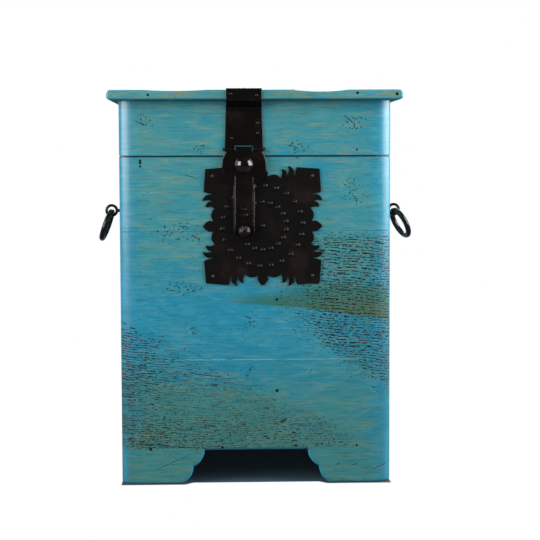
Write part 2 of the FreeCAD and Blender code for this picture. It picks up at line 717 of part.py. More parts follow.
def offset_path(path, thickness):
    """The path moved sideways by a thickness, away from the wood, with mitred bends."""
    ways = []
    for (y0, z0), (y1, z1) in zip(path, path[1:]):
        length = math.hypot(y1 - y0, z1 - z0)
        ways.append(((z1 - z0) / length, (y0 - y1) / length))
    moved = []
    for k, (y, z) in enumerate(path):
        before = ways[max(0, k - 1)]
        after = ways[min(k, len(ways) - 1)]
        scale = thickness / (1 + before[0] * after[0] + before[1] * after[1])
        moved.append((y + (before[0] + after[0]) * scale, z + (before[1] + after[1]) * scale))
    return moved


def hasp_strap():
    """Flat iron bent over the lid's edge, sloped back to the rim, with two knuckles at its foot."""
    half_low = STRAP_LOW_W / 2
    half_top = STRAP_TOP_W / 2
    back_end = LID_FRONT_Y + STRAP_TOP_LEAF
    wood_side = [
        (back_end, LID_TOP_Z), (LID_FRONT_Y, LID_TOP_Z), (LID_FRONT_Y, LID_Z),
        (FRONT_Y, LID_Z - STRAP_SLOPE_H), (FRONT_Y, BARREL_Z),
    ]
    outer_side = offset_path(wood_side, STRAP_T)
    section = [V(HASP_X - half_low, y, z) for y, z in wood_side + outer_side[::-1]]
    strap = polygon_prism(section, V(STRAP_LOW_W, 0, 0))
    bends = [
        e for e in strap.Edges
        if any(close(e.CenterOfMass.y, y) and close(e.CenterOfMass.z, z) for y, z in outer_side[1:4])
    ]
    strap = strap.makeFillet(STRAP_BEND_R, bends)
    low = BARREL_Z - HASP_KNUCKLE_R
    high = LID_TOP_Z + LID_T
    half_outline = ((half_low, low), (half_low, BARREL_Z), (half_top, LID_Z), (half_top, high))
    right = [V(HASP_X + x, LID_FRONT_Y - LID_T, z) for x, z in half_outline]
    left = [V(HASP_X - x, LID_FRONT_Y - LID_T, z) for x, z in half_outline[::-1]]
    taper = polygon_prism(right + left, V(0, LID_T + STRAP_TOP_LEAF + LID_OVERHANG, 0))
    strap = strap.common(taper).Solids[0]
    leaf_corners = [e for e in strap.Edges if close(e.CenterOfMass.y, back_end) and close(e.Length, STRAP_T)]
    strap = strap.makeFillet(STRAP_LEAF_R, leaf_corners)
    room = HASP_KNUCKLE_W / 2 + KNUCKLE_GAP
    slit_top = BARREL_Z + HASP_KNUCKLE_R + STRAP_SLIT
    slit = block(HASP_X - room, HASP_X + room, TONGUE_FRONT_Y, FRONT_Y, BARREL_Z - HASP_KNUCKLE_R, slit_top)
    knuckles = [
        rod(HASP_KNUCKLE_R, V(HASP_X + start, BARREL_Y, BARREL_Z), V(1, 0, 0), half_low - room)
        for start in (-half_low, room)
    ]
    bore_start = V(HASP_X - STRAP_LOW_W, BARREL_Y, BARREL_Z)
    bore = rod(HASP_PIN_R + PIN_CLEARANCE, bore_start, V(1, 0, 0), 2 * STRAP_LOW_W)
    return drill(strap.cut(slit).fuse(knuckles).cut(bore), STRAP_NAILS)


def tongue_outline():
    """Neck under the barrel, round head, straight strip and rounded tip, as one closed wire."""
    head_z = BARREL_Z - TONGUE_HEAD_DROP
    neck = HASP_KNUCKLE_W / 2
    strip = TONGUE_STRIP_W / 2
    shoulder_z = BARREL_Z - HASP_KNUCKLE_R - KNUCKLE_GAP
    chord = math.sqrt(TONGUE_HEAD_R ** 2 - (shoulder_z - head_z) ** 2)
    waist_z = head_z - math.sqrt(TONGUE_HEAD_R ** 2 - strip ** 2)
    tip_z = BARREL_Z - TONGUE_L

    def at(x, z):
        return V(HASP_X + x, TONGUE_FRONT_Y, z)

    edges = [line(at(-neck, BARREL_Z), at(neck, BARREL_Z))]
    for way in (1, -1):
        edges += [
            line(at(way * neck, BARREL_Z), at(way * neck, shoulder_z)),
            line(at(way * neck, shoulder_z), at(way * chord, shoulder_z)),
            arc(at(way * chord, shoulder_z), at(way * TONGUE_HEAD_R, head_z), at(way * strip, waist_z)),
            line(at(way * strip, waist_z), at(way * strip, tip_z + strip)),
        ]
    edges.append(arc(at(-strip, tip_z + strip), at(0, tip_z), at(strip, tip_z + strip)))
    return Part.Wire(Part.__sortEdges__(edges))


def strip_recess():
    """The shallow channel down the strip, which leaves a raised border."""
    half = TONGUE_STRIP_W / 2 - TONGUE_BORDER
    top = BARREL_Z - TONGUE_HEAD_DROP - STUD_R - TONGUE_BORDER
    bend = BARREL_Z - TONGUE_L + TONGUE_STRIP_W / 2

    def at(x, z):
        return V(HASP_X + x, TONGUE_FRONT_Y, z)

    edges = [
        line(at(-half, top), at(half, top)),
        line(at(half, top), at(half, bend)),
        arc(at(half, bend), at(0, bend - half), at(-half, bend)),
        line(at(-half, bend), at(-half, top)),
    ]
    return Part.Face(Part.Wire(edges)).extrude(V(0, TONGUE_RECESS, 0))


def rivet_places():
    """Two small rivets side by side on the strip."""
    z = BARREL_Z - RIVET_DROP
    return [V(HASP_X + x, STRIP_FACE_Y, z) for x in (-RIVET_SPACING / 2, RIVET_SPACING / 2)]


def tongue_holes():
    """Holes for the shanks of the stud, the rivets and the knob."""
    oval_at = V(HASP_X, STRIP_FACE_Y, BARREL_Z - OVAL_DROP)
    knob_at = V(HASP_X, STRIP_FACE_Y, BARREL_Z - KNOB_DROP)
    stud_at = V(HASP_X, TONGUE_FRONT_Y, BARREL_Z - TONGUE_HEAD_DROP)
    small_r = RIVET_SHANK_R + RIVET_FIT
    small = [rod(small_r, p, INTO_BACK, TONGUE_T) for p in rivet_places() + [oval_at, knob_at]]
    return small + [rod(STUD_SHANK_R + RIVET_FIT, stud_at, INTO_BACK, TONGUE_T)]


def hasp_tongue():
    plate = Part.Face(tongue_outline()).extrude(V(0, TONGUE_T, 0))
    shoulder_z = BARREL_Z - HASP_KNUCKLE_R - KNUCKLE_GAP
    rim = edges_where(plate, lambda p: close(p.y, TONGUE_FRONT_Y) and p.z < shoulder_z - KNUCKLE_GAP)
    plate = plate.makeFillet(TONGUE_EDGE_R, rim)
    knuckle_start = V(HASP_X - HASP_KNUCKLE_W / 2, BARREL_Y, BARREL_Z)
    knuckle = rod(HASP_KNUCKLE_R, knuckle_start, V(1, 0, 0), HASP_KNUCKLE_W)
    bore = rod(HASP_PIN_R + PIN_CLEARANCE, knuckle_start, V(1, 0, 0), HASP_KNUCKLE_W)
    return plate.fuse(knuckle).removeSplitter().cut([bore, strip_recess()] + tongue_holes())


def hasp_stud():
    """A polished dome whose shank is peened over behind the tongue."""
    at = V(HASP_X, TONGUE_FRONT_Y, BARREL_Z - TONGUE_HEAD_DROP)
    shank = rod(STUD_SHANK_R, at, INTO_BACK, TONGUE_T + STUD_PEEN_T)
    peen = rod(STUD_PEEN_R, V(at.x, TONGUE_BACK_Y, at.z), INTO_BACK, STUD_PEEN_T)
    return dome(STUD_R, STUD_H, at, INTO_FRONT).fuse([shank, peen]).removeSplitter()


def hasp_rivets():
    """Two round rivets over an oval one, each with a shank through the strip."""
    depth = TONGUE_T - TONGUE_RECESS
    solids = []
    for at in rivet_places():
        shank = rod(RIVET_SHANK_R, at, INTO_BACK, depth)
        solids.append(dome(RIVET_R, RIVET_H, at, INTO_FRONT).fuse(shank).removeSplitter())
    at = V(HASP_X, STRIP_FACE_Y, BARREL_Z - OVAL_DROP)
    curve = Part.Ellipse(V(0, 0, 0), OVAL_W / 2, OVAL_H / 2).toShape()
    oval = Part.Face(Part.Wire(curve)).extrude(V(0, 0, OVAL_T))
    oval = oval.makeFillet(OVAL_ROUND, [e for e in oval.Edges if close(e.CenterOfMass.z, OVAL_T)])
    oval.Placement = FreeCAD.Placement(at, FreeCAD.Rotation(V(1, 0, 0), 90))
    solids.append(oval.fuse(rod(RIVET_SHANK_R, at, INTO_BACK, depth)).removeSplitter())
    return Part.makeCompound([s.Solids[0] for s in solids])


def hasp_lift_knob():
    """A forged knob to lift the tongue by: flared foot, waist and ball."""
    at = V(HASP_X, STRIP_FACE_Y, BARREL_Z - KNOB_DROP)
    half_h = KNOB_H - KNOB_BALL_H
    waist_angle = math.acos(KNOB_WAIST_R / KNOB_R)

    def spot(radius, out):
        return V(at.x + radius, at.y - out, at.z)

    ball = Part.Ellipse(spot(0, KNOB_BALL_H), KNOB_R, half_h)
    side = Part.ArcOfEllipse(ball, -math.pi / 2, waist_angle).toShape()
    waist = spot(KNOB_WAIST_R, KNOB_BALL_H - half_h * math.sin(waist_angle))
    edges = [
        side,
        line(waist, spot(KNOB_FOOT_R, 0)),
        line(spot(KNOB_FOOT_R, 0), spot(0, 0)),
        line(spot(0, 0), spot(0, KNOB_H)),
    ]
    shank = rod(RIVET_SHANK_R, at, INTO_BACK, TONGUE_T - TONGUE_RECESS)
    return turned(edges, at, V(0, 1, 0)).fuse(shank).removeSplitter()


def hasp_pieces():
    pin_out = HASP_PIN_OUT - PIN_HEAD_L
    start = V(HASP_X - STRAP_LOW_W / 2 - pin_out, BARREL_Y, BARREL_Z)
    return {
        "hasp_strap": hasp_strap(),
        "hasp_pin": headed_pin(start, STRAP_LOW_W + 2 * pin_out, HASP_PIN_R),
        "hasp_tongue": hasp_tongue(),
        "hasp_stud": hasp_stud(),
        "hasp_rivets": hasp_rivets(),
        "hasp_lift_knob": hasp_lift_knob(),
    }


# Lock plate

def half_side():
    """Half of one side, from the tip of its leaf to the corner, as (out, along, bend point or None)."""
    leaf_root = LOBE_EDGE - LEAF_STEP
    points = [
        (LEAF_TIP, 0, None),
        (LEAF_BELLY, LEAF_HALF_W, LEAF_BOW),
        (leaf_root, LEAF_ROOT_W, LEAF_UNDER),
        (leaf_root - LEAF_STEP, LEAF_HALF_W + LEAF_STEP, None),
        (LOBE_EDGE - LOBE_FALL, LOBE_END, (LOBE_EDGE, LOBE_MIDDLE)),
    ]
    for height, at, rise, fall, foot in zip(THORN_H, THORN_AT, THORN_RISE, THORN_FALL, THORN_FOOT):
        points.append((LOBE_EDGE + height, at, (LOBE_EDGE + rise[0], rise[1])))
        points.append((LOBE_EDGE + foot[0], foot[1], (LOBE_EDGE + fall[0], fall[1])))
    points.append((LOBE_EDGE + EAR_START[0], EAR_START[1], None))
    points.append((PLATE_CORNER + EAR_LIFT, EAR_INNER, (LOBE_EDGE + EAR_HOLLOW[0], EAR_HOLLOW[1])))
    points.append((PLATE_CORNER, PLATE_CORNER, None))
    return points


def plate_outline():
    """Four sides alike, each the half side and its mirror image."""
    half = half_side()
    edges = []
    for turn in range(4):
        spin = FreeCAD.Rotation(V(0, 1, 0), 90.0 * turn)
        for way in (1, -1):
            for (out, along, _), (next_out, next_along, bend) in zip(half, half[1:]):
                spots = [(out, along), bend, (next_out, next_along)]
                spots = [spot for spot in spots if spot]
                points = [spin.multVec(V(way * t, 0, u)) + V(PLATE_X, FRONT_Y, PLATE_Z) for u, t in spots]
                edges.append(arc(*points) if bend else line(*points))
    return Part.Wire(Part.__sortEdges__(edges))


def lock_plate():
    """Cut sheet with two rings of bosses beaten up from behind and one in the middle."""
    sheet = Part.Face(plate_outline()).extrude(V(0, -PLATE_T, 0))
    places = [(0.0, 0.0)]
    for radius, count, first in zip(BOSS_RING_R, BOSS_COUNTS, BOSS_FIRST_DEG):
        for k in range(count):
            angle = math.radians(first + 360.0 * k / count)
            places.append((radius * math.cos(angle), radius * math.sin(angle)))
    bosses = [dome(BOSS_R, BOSS_H, V(PLATE_X + x, PLATE_FRONT_Y, PLATE_Z + z), INTO_FRONT) for x, z in places]
    return drill(sheet.fuse(bosses).removeSplitter(), PLATE_NAILS)


# All pieces

def nail_pieces():
    return {
        "carcass_nails": Part.makeCompound(
            nails(FRONT_NAILS, "none").Solids + nails(BACK_NAILS, "rose").Solids
        ),
        "lock_plate_nails": nails(PLATE_NAILS, "dome"),
        "hinge_chest_nails": nails(CHEST_HINGE_NAILS, "dome"),
        "hinge_lid_nails": nails(LID_HINGE_NAILS, "dome"),
        "hasp_strap_nails": nails(STRAP_NAILS, "dome"),
        "lid_nails": nails(LID_NAILS, "rose"),
    }


def all_pieces():
    pieces = {}
    pieces.update(body_boards())
    pieces.update(floor_pieces())
    pieces.update(lid_pieces())
    pieces.update(hinge_pieces())
    pieces.update(ring_pieces())
    pieces.update(hasp_pieces())
    pieces["lock_plate"] = lock_plate()
    pieces.update(nail_pieces())
    return pieces


PIECES = all_pieces()
os.makedirs("parts", exist_ok=True)
for node, shape in PIECES.items():
    shape.exportStep("parts/" + node + ".step")
print(len(PIECES), "pieces, lid axis", round(HINGE_AXIS_Y, 3), round(HINGE_AXIS_Z, 3))
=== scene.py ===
import math

import bpy
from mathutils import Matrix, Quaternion, Vector


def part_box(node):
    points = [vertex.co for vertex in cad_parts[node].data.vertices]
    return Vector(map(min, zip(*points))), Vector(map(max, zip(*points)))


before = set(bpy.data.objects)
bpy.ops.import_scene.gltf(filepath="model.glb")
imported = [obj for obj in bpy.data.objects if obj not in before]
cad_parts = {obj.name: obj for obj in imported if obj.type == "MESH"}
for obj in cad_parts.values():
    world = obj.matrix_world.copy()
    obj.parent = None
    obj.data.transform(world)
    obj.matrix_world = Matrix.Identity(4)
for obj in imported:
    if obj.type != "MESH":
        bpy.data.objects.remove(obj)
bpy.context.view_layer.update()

# Millimetres in a metre
MM = 1000.0


def span(node):
    """Lowest and highest corner of a CAD node at rest, in millimetres."""
    low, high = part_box(node)
    return low * MM, high * MM


# Places read from the CAD parts, in millimetres
FRONT_Y = span("front_board_bottom")[0].y
BACK_Y = span("back_board_bottom")[1].y
SIDE_X = span("right_side_board_bottom")[1].x
INNER_X = span("right_side_board_middle")[0].x
INNER_FRONT_Y = span("front_board_middle")[1].y
INNER_BACK_Y = span("back_board_middle")[0].y
LOW_JOINT_Z = span("front_board_bottom")[1].z
SEAM_Z = span("front_board_top")[1].z
LID_Z = span("lid_rail_front")[1].z
LID_TOP_Z = span("lid_board_front")[1].z
LID_FRONT_Y = span("lid_board_front")[0].y
FLOOR_BOARD_Z = span("floor_board_front")[0].z


def srgb(red, green, blue):
    """A colour given as a screen shows it, in the linear form that shaders use."""
    def linear(level):
        share = level / 255.0
        if share <= 0.04045:
            return share / 12.92
        return ((share + 0.055) / 1.055) ** 2.4
    return (linear(red), linear(green), linear(blue), 1.0)


# Colours of the finishes
BLUE = srgb(19, 127, 155)
# Pale blue of rubbed paint, also the painted sheen on rounded edges and on the cut-out's edge
RUBBED_BLUE_AND_SHEEN = srgb(54, 158, 196)
GLAZED = srgb(57, 135, 139)
OCHRE = srgb(142, 138, 84)
PALE_PAINT = srgb(112, 176, 178)
# Grime, also used as painted shade on the lower corners
GRIME_AND_SHADE = srgb(44, 88, 72)
SMEAR_GREEN = srgb(48, 98, 76)
SMEAR_BROWN = srgb(74, 98, 46)
# Dark brown of the combed marks, pits and scratches, also the painted shade of the seam
MARK_AND_SHADE_BROWN = srgb(14, 10, 8)
COMB_RUST = srgb(112, 64, 14)
# Black of the nail holes, painted shade
HOLE_SHADE_BLACK = srgb(10, 8, 7)
JOINT_PALE = srgb(130, 178, 178)
BARE_PALE = srgb(168, 132, 92)
BARE_DARK = srgb(116, 82, 52)
IRON_BLACK = srgb(8, 8, 7)
IRON_BROWN = srgb(26, 13, 11)
IRON_RED = srgb(46, 20, 15)
RUST_DARK = srgb(52, 34, 24)
RUST_LIGHT = srgb(132, 84, 52)
RUST_DIM = srgb(66, 36, 26)

# Distress on the front, in millimetres from the middle of the front (x) and the floor (z)
# Nail holes, painted as black spots of shade: place and radius
NAIL_HOLES = (
    (-210.5, 600.5, 2.2), (-210.5, 596.5, 2.4), (-210.5, 590.0, 2.0), (39.0, 344.0, 2.6),
    (39.0, 174.0, 2.8), (74.0, 70.5, 2.2), (187.0, 70.5, 2.2), (-63.0, 68.5, 2.6),
    (-196.0, 66.5, 3.0), (187.0, 619.5, 1.9),
)
# Painted shade in the seam under the lid rim, a dark line: how far below the top of the body it lies, and
# half its width
SEAM_DROP = 0.2
SEAM_HALF_W = 1.6
# Splits (x) and nail holes in the front edge of the lid, the holes painted as black spots of shade
LID_EDGE_SPLITS = (-145.0, 64.6)
LID_EDGE_HOLES = ((-194.0, 719.0, 2.4), (186.0, 722.0, 2.4), (258.0, 720.0, 2.6))
# Patches of pits: place, half width and half height
PIT_PATCHES = (
    (-135.0, 467.0, 62.0, 26.0), (-200.0, 674.0, 26.0, 18.0), (181.0, 669.0, 30.0, 24.0),
    (78.0, 624.0, 26.0, 15.0), (182.0, 545.0, 34.0, 30.0), (-135.0, 365.0, 44.0, 16.0),
    (-101.0, 624.0, 18.0, 14.0), (-70.0, 190.0, 22.0, 16.0), (-118.0, 289.0, 24.0, 13.0),
    (-12.0, 305.0, 14.0, 22.0), (-17.0, 213.0, 14.0, 14.0),
)
# Scratches and cracks: start, end and half width
SCRATCHES = (
    (167.0, 680.0, 182.0, 666.5, 1.1), (-223.0, 674.0, -199.0, 665.0, 0.8),
    (43.5, 114.0, 57.5, 121.5, 2.3), (-120.0, 207.0, -57.0, 200.0, 0.8),
    (-240.0, 78.0, -101.0, 66.5, 0.7), (-193.0, 25.0, -112.0, 60.0, 0.5),
    (146.0, 33.0, 158.0, 38.0, 0.7), (175.0, 32.0, 190.0, 37.0, 0.7),
    (213.0, 24.0, 246.0, 36.0, 0.7), (68.0, 610.0, 82.0, 602.0, 0.8),
    (-132.0, 575.0, -106.0, 568.0, 0.7), (97.0, 202.0, 105.0, 217.0, 0.6),
)
# Combed zones: the right one lies between a level top and a low edge that falls to the right
RIGHT_COMB_TOP_Z = 474.0
RIGHT_COMB_LOW_Z = 342.0
RIGHT_COMB_FALL = 0.683
# The left one lies under an edge that falls to the right, through this place
LEFT_COMB_TOP_Z = 150.0
LEFT_COMB_TOP_X = 84.0
LEFT_COMB_FALL = 0.5
# The paint of the left zone is dull below this height, which falls to the right
DULL_Z = 177.0
DULL_FALL = 0.17
# Height of the bluest band of the body
BLUE_BAND_Z = 292.0
# Lower edge of the olive smear: its height in the middle, its fall and its bow
SMEAR_Z = 335.0
SMEAR_FALL = 0.08
SMEAR_BOW = 0.00015
# Height above the underside of the floor boards over which the pale edge of the cut-out, rubbed paint and a
# painted sheen, fades out
CUT_EDGE_H = 8.0
# How deep behind the front its marks reach: fully, and at all
MARKS_FULL_DEPTH = 8.0
MARKS_DEPTH = 14.0
# The left combing ends above the feet, between these heights
COMB_FOOT_Z = (62.0, 70.0)
# Steps that give each row of a comb its own run of dashes
ROW_SHIFT = (13.7, 7.31)
# Height of the brush marks of the paint
PAINT_RELIEF = 0.9


class Field:
    """A number or colour that varies over a surface, so that masks read as formulas."""

    def __init__(self, tree, socket):
        self.tree = tree
        self.socket = socket

    def math(self, operation, *others):
        node = self.tree.nodes.new("ShaderNodeMath")
        node.operation = operation
        for socket, value in zip(node.inputs, (self, *others)):
            plug(self.tree, value, socket)
        return Field(self.tree, node.outputs[0])

    def __add__(self, other):
        return self.math("ADD", other)

    def __sub__(self, other):
        return self.math("SUBTRACT", other)

    def __mul__(self, other):
        return self.math("MULTIPLY", other)

    def __truediv__(self, other):
        return self.math("DIVIDE", other)

    def __rsub__(self, other):
        return self * -1.0 + other

    def __abs__(self):
        return self.math("ABSOLUTE")

    __radd__ = __add__
    __rmul__ = __mul__

    def floor(self):
        return self.math("FLOOR")

    def least(self, other):
        return self.math("MINIMUM", other)

    def most(self, other):
        return self.math("MAXIMUM", other)

    def rise(self, low, high):
        """0 at low, 1 at high and a smooth step between them; low may be the larger."""
        node = self.tree.nodes.new("ShaderNodeMapRange")
        node.interpolation_type = "SMOOTHSTEP"
        plug(self.tree, self, node.inputs["Value"])
        plug(self.tree, low, node.inputs["From Min"])
        plug(self.tree, high, node.inputs["From Max"])
        return Field(self.tree, node.outputs["Result"])


def plug(tree, value, socket):
    """Sets a socket to a constant, or links a field to it."""
    if isinstance(value, Field):
        tree.links.new(value.socket, socket)
    else:
        socket.default_value = value


COAT_ROUGHNESS = 0.32


class Surface:
    """One material: places on the piece, patterns over it and the finished shader."""

    def __init__(self, name):
        self.material = bpy.data.materials.new(name)
        self.material.use_nodes = True
        self.tree = self.material.node_tree
        self.shader = self.tree.nodes["Principled BSDF"]
        place = self.add("ShaderNodeTexCoord")
        self.x, self.y, self.z = self.split(place.outputs["Object"], MM)
        self.nx, self.ny, self.nz = self.split(place.outputs["Normal"], 1.0)

    def add(self, kind):
        return self.tree.nodes.new(kind)

    def split(self, socket, scale):
        node = self.add("ShaderNodeSeparateXYZ")
        self.tree.links.new(socket, node.inputs[0])
        parts = [Field(self.tree, output) for output in node.outputs]
        if scale == 1.0:
            return parts
        return [part * scale for part in parts]

    def vector(self, along, across, third=0.0):
        node = self.add("ShaderNodeCombineXYZ")
        for socket, value in zip(node.inputs, (along, across, third)):
            plug(self.tree, value, socket)
        return Field(self.tree, node.outputs[0])

    def noise(self, along, across, detail=2.0, rough=0.5, warp=0.0):
        """Soft noise from 0 to 1 over two coordinates, with features about 1 unit wide."""
        node = self.add("ShaderNodeTexNoise")
        node.noise_dimensions = "2D"
        node.inputs["Scale"].default_value = 1.0
        node.inputs["Detail"].default_value = detail
        node.inputs["Roughness"].default_value = rough
        node.inputs["Distortion"].default_value = warp
        plug(self.tree, self.vector(along, across), node.inputs["Vector"])
        return Field(self.tree, node.outputs[0])

    def lumps(self, size, detail=2.0):
        """Soft noise in all three directions, with features about size millimetres wide."""
        node = self.add("ShaderNodeTexNoise")
        node.inputs["Scale"].default_value = 1.0
        node.inputs["Detail"].default_value = detail
        plug(self.tree, self.vector(self.x / size, self.y / size, self.z / size), node.inputs["Vector"])
        return Field(self.tree, node.outputs[0])

    def dots(self, along, across):
        """Distance to the nearest of scattered points, about 1 unit apart, and a random number for each."""
        node = self.add("ShaderNodeTexVoronoi")
        node.voronoi_dimensions = "2D"
        node.inputs["Scale"].default_value = 1.0
        plug(self.tree, self.vector(along, across), node.inputs["Vector"])
        share = self.add("ShaderNodeSeparateColor")
        self.tree.links.new(node.outputs["Color"], share.inputs[0])
        return Field(self.tree, node.outputs["Distance"]), Field(self.tree, share.outputs[0])

    def mix(self, share, start, end):
        """Colour from start to end as share goes from 0 to 1."""
        node = self.add("ShaderNodeMix")
        node.data_type = "RGBA"
        plug(self.tree, share, node.inputs["Factor"])
        plug(self.tree, start, node.inputs[6])
        plug(self.tree, end, node.inputs[7])
        return Field(self.tree, node.outputs[2])

    def finish(self, colour, roughness, height, depth, gloss=0.5, varnish=0.0, edge=0.0):
        """Feeds the shader; depth is what a height of 1 stands out, in millimetres.

        An edge above 0 rounds sharp edges by that radius, in millimetres, in the shading alone.
        """
        self.shader.inputs["Coat Weight"].default_value = varnish
        self.shader.inputs["Specular IOR Level"].default_value = gloss
        self.shader.inputs["Coat Roughness"].default_value = COAT_ROUGHNESS
        bump = self.add("ShaderNodeBump")
        bump.inputs["Distance"].default_value = depth / MM
        plug(self.tree, height, bump.inputs["Height"])
        if edge:
            rounded = self.add("ShaderNodeBevel")
            rounded.inputs["Radius"].default_value = edge / MM
            self.tree.links.new(rounded.outputs[0], bump.inputs["Normal"])
        plug(self.tree, colour, self.shader.inputs["Base Color"])
        plug(self.tree, roughness, self.shader.inputs["Roughness"])
        self.tree.links.new(bump.outputs["Normal"], self.shader.inputs["Normal"])
        return self.material


# Patterns of the painted finish. Divisors are sizes of features in millimetres, constants added to a
# coordinate only shift a noise, and weights and thresholds were set against the photo.

def patch(s, across, centre_x, centre_z, half_x, half_z):
    """1 in the middle of an ellipse on the front, falling to 0 at its edge."""
    dx = (s.x - centre_x) / half_x
    dz = (across - centre_z) / half_z
    return (dx * dx + dz * dz).rise(1.0, 0.3)


def spot(s, across, centre_x, centre_z, radius):
    """1 inside a round spot on the front."""
    dx = s.x - centre_x
    dz = across - centre_z
    return (dx * dx + dz * dz).rise((radius * 1.2) ** 2, (radius * 0.9) ** 2)


def scratch(s, x0, z0, x1, z1, half_width):
    """1 along a straight scratch on the front, thinner towards its ends."""
    run = Vector((x1 - x0, z1 - z0))
    length = run.length
    run.normalize()
    middle_x = (x0 + x1) / 2
    middle_z = (z0 + z1) / 2
    dx = s.x - middle_x
    dz = s.z - middle_z
    on = abs(dx * run.x + dz * run.y)
    off = abs(dx * -run.y + dz * run.x)
    width = on.rise(length / 2, length / 4) * half_width
    return (off - width).rise(0.25, -0.25)


def strongest(fields):
    """The largest of several fields at each place."""
    top = fields[0]
    for field in fields[1:]:
        top = top.most(field)
    return top


def front_only(s):
    """1 on the front and its rounded corners, 0 further back."""
    return (s.y - FRONT_Y).rise(MARKS_DEPTH, MARKS_FULL_DEPTH)


def comb_zones(s):
    """How thickly combed dashes lie, 0 to 1, in two zones of the front, which run on round the corners."""
    behind = s.y - FRONT_Y
    side = (s.x / 10.0).math("TANH")
    folded = s.x + side * behind
    wobble = (s.noise((s.x + s.y) / 38.0, s.z / 22.0, detail=3.0) - 0.5) * 60.0
    reach = abs(folded).rise(500.0, 280.0) * behind.rise(340.0, 260.0)
    right_low = folded.least(SIDE_X) * -RIGHT_COMB_FALL + RIGHT_COMB_LOW_Z
    right = (RIGHT_COMB_TOP_Z - s.z + wobble * 0.15).rise(-2.0, 24.0)
    right = right * (s.z - right_low + wobble * 0.6).rise(-28.0, 26.0)
    right = right * folded.rise(10.0, 150.0) * reach
    beyond = folded.most(-SIDE_X) - LEFT_COMB_TOP_X
    left_top = LEFT_COMB_TOP_Z - beyond * LEFT_COMB_FALL
    left = (left_top - s.z + wobble).rise(-12.0, 30.0)
    left = left * (s.z + wobble * 0.1).rise(*COMB_FOOT_Z)
    left = left * folded.rise(235.0, 120.0) * reach
    return right, left


def comb_rows(s, density, tilt, spacing, run, thickest, seed):
    """Rows of one graining comb, broken into dashes about run long; all lengths in millimetres."""
    along = s.x + s.y
    wave = (s.noise(along / 130.0 + seed, s.z / 60.0, detail=3.0, rough=0.55) - 0.5) * 16.0
    shake = (s.noise(along / 9.0 + seed, s.z / 7.0) - 0.5) * 1.6
    row_place = (s.z + tilt * (s.x + SIDE_X) + wave + shake) / spacing
    row = row_place.floor()
    off_row = abs(row_place - row - 0.5) * spacing
    dash = s.noise(along / run + row * ROW_SHIFT[0], row * ROW_SHIFT[1] + seed, detail=3.0, rough=0.65)
    half_width = ((dash - 0.66 + density * 0.195) * 12.0).least(thickest)
    return (off_row - half_width).rise(0.2, -0.2) * density.rise(0.02, 0.15), row


def comb(s):
    """Dark dashes, the share of them that is rusty, and how far the combed zones dull the paint."""
    right, left = comb_zones(s)
    steeper = ((461.0 - s.z) * 0.00042 + 0.02).least(0.13)
    bold, row = comb_rows(s, right, steeper, spacing=4.5, run=8.5, thickest=0.75, seed=0.0)
    small, _ = comb_rows(s, right, steeper, spacing=3.0, run=5.0, thickest=0.5, seed=40.0)
    near_edge = s.x.rise(-120.0, -235.0)
    lower = s.z.rise(90.0, 240.0) * 0.09 + 0.03
    foot_line = s.z.rise(165.0, 95.0)
    long_left, _ = comb_rows(s, left * 0.9, lower, spacing=4.1, run=20.0, thickest=0.5, seed=80.0)
    sparse = left * (near_edge * 0.3 + foot_line * 0.55 + 0.15)
    small_left, _ = comb_rows(s, sparse, lower, spacing=3.3, run=5.0, thickest=0.55, seed=160.0)
    share = near_edge * (s.z.rise(110.0, 210.0) * 0.75 + 0.15) + foot_line * 0.35 + 0.25
    bold_left, _ = comb_rows(s, left * share, lower, spacing=4.9, run=8.5, thickest=0.85, seed=120.0)
    faint = s.x.rise(120.0, -200.0) * 0.4 + 0.4
    mark = bold.most(small * 0.85).most(long_left * faint).most(bold_left).most(small_left * 0.85)
    rust = s.noise((s.x + s.y) / 7.0, row * 3.3, detail=1.0).rise(0.56, 0.70)
    dull_left = left * (DULL_Z - s.x * DULL_FALL - s.z).rise(-14.0, 26.0)
    return mark, rust * abs(s.x).rise(150.0, 215.0), (right * 0.6).most(dull_left)


def pits(s, across):
    """Small dark pits, in patches on the front and thinly elsewhere."""
    along = s.x + s.y
    distance, chance = s.dots(along / 4.2, across / 3.8)
    patches = [patch(s, across, *place) for place in PIT_PATCHES]
    front = strongest(patches) * front_only(s)
    stray = s.noise(along / 90.0 + 31.0, across / 60.0, detail=2.0).rise(0.58, 0.74)
    amount = front * 0.30 + stray * 0.08 + 0.006
    return (distance - (amount - chance) * 0.9).rise(0.26, 0.12) * (chance - amount).rise(0.0, -0.02)


def glaze_share(s):
    """How green the glaze makes the paint at each height, bluest across the middle of the body, and bluer
    towards the side corners, partly rubbed wear and partly a painted sheen.
    """
    middle = abs(s.z - BLUE_BAND_Z).rise(150.0, 25.0)
    # Less glaze near the side corners: rubbed wear and a painted sheen
    end = (SIDE_X - abs(s.x)).rise(52.0, 6.0) * (s.y - FRONT_Y).rise(30.0, 10.0)
    foot = s.z.rise(130.0, 40.0) * (0.25 - s.x / SIDE_X * 0.3)
    share = 0.74 - middle * 0.60 - end * 0.6 + foot
    return share - s.z.rise(330.0, 640.0) * (s.x / SIDE_X) * 0.10


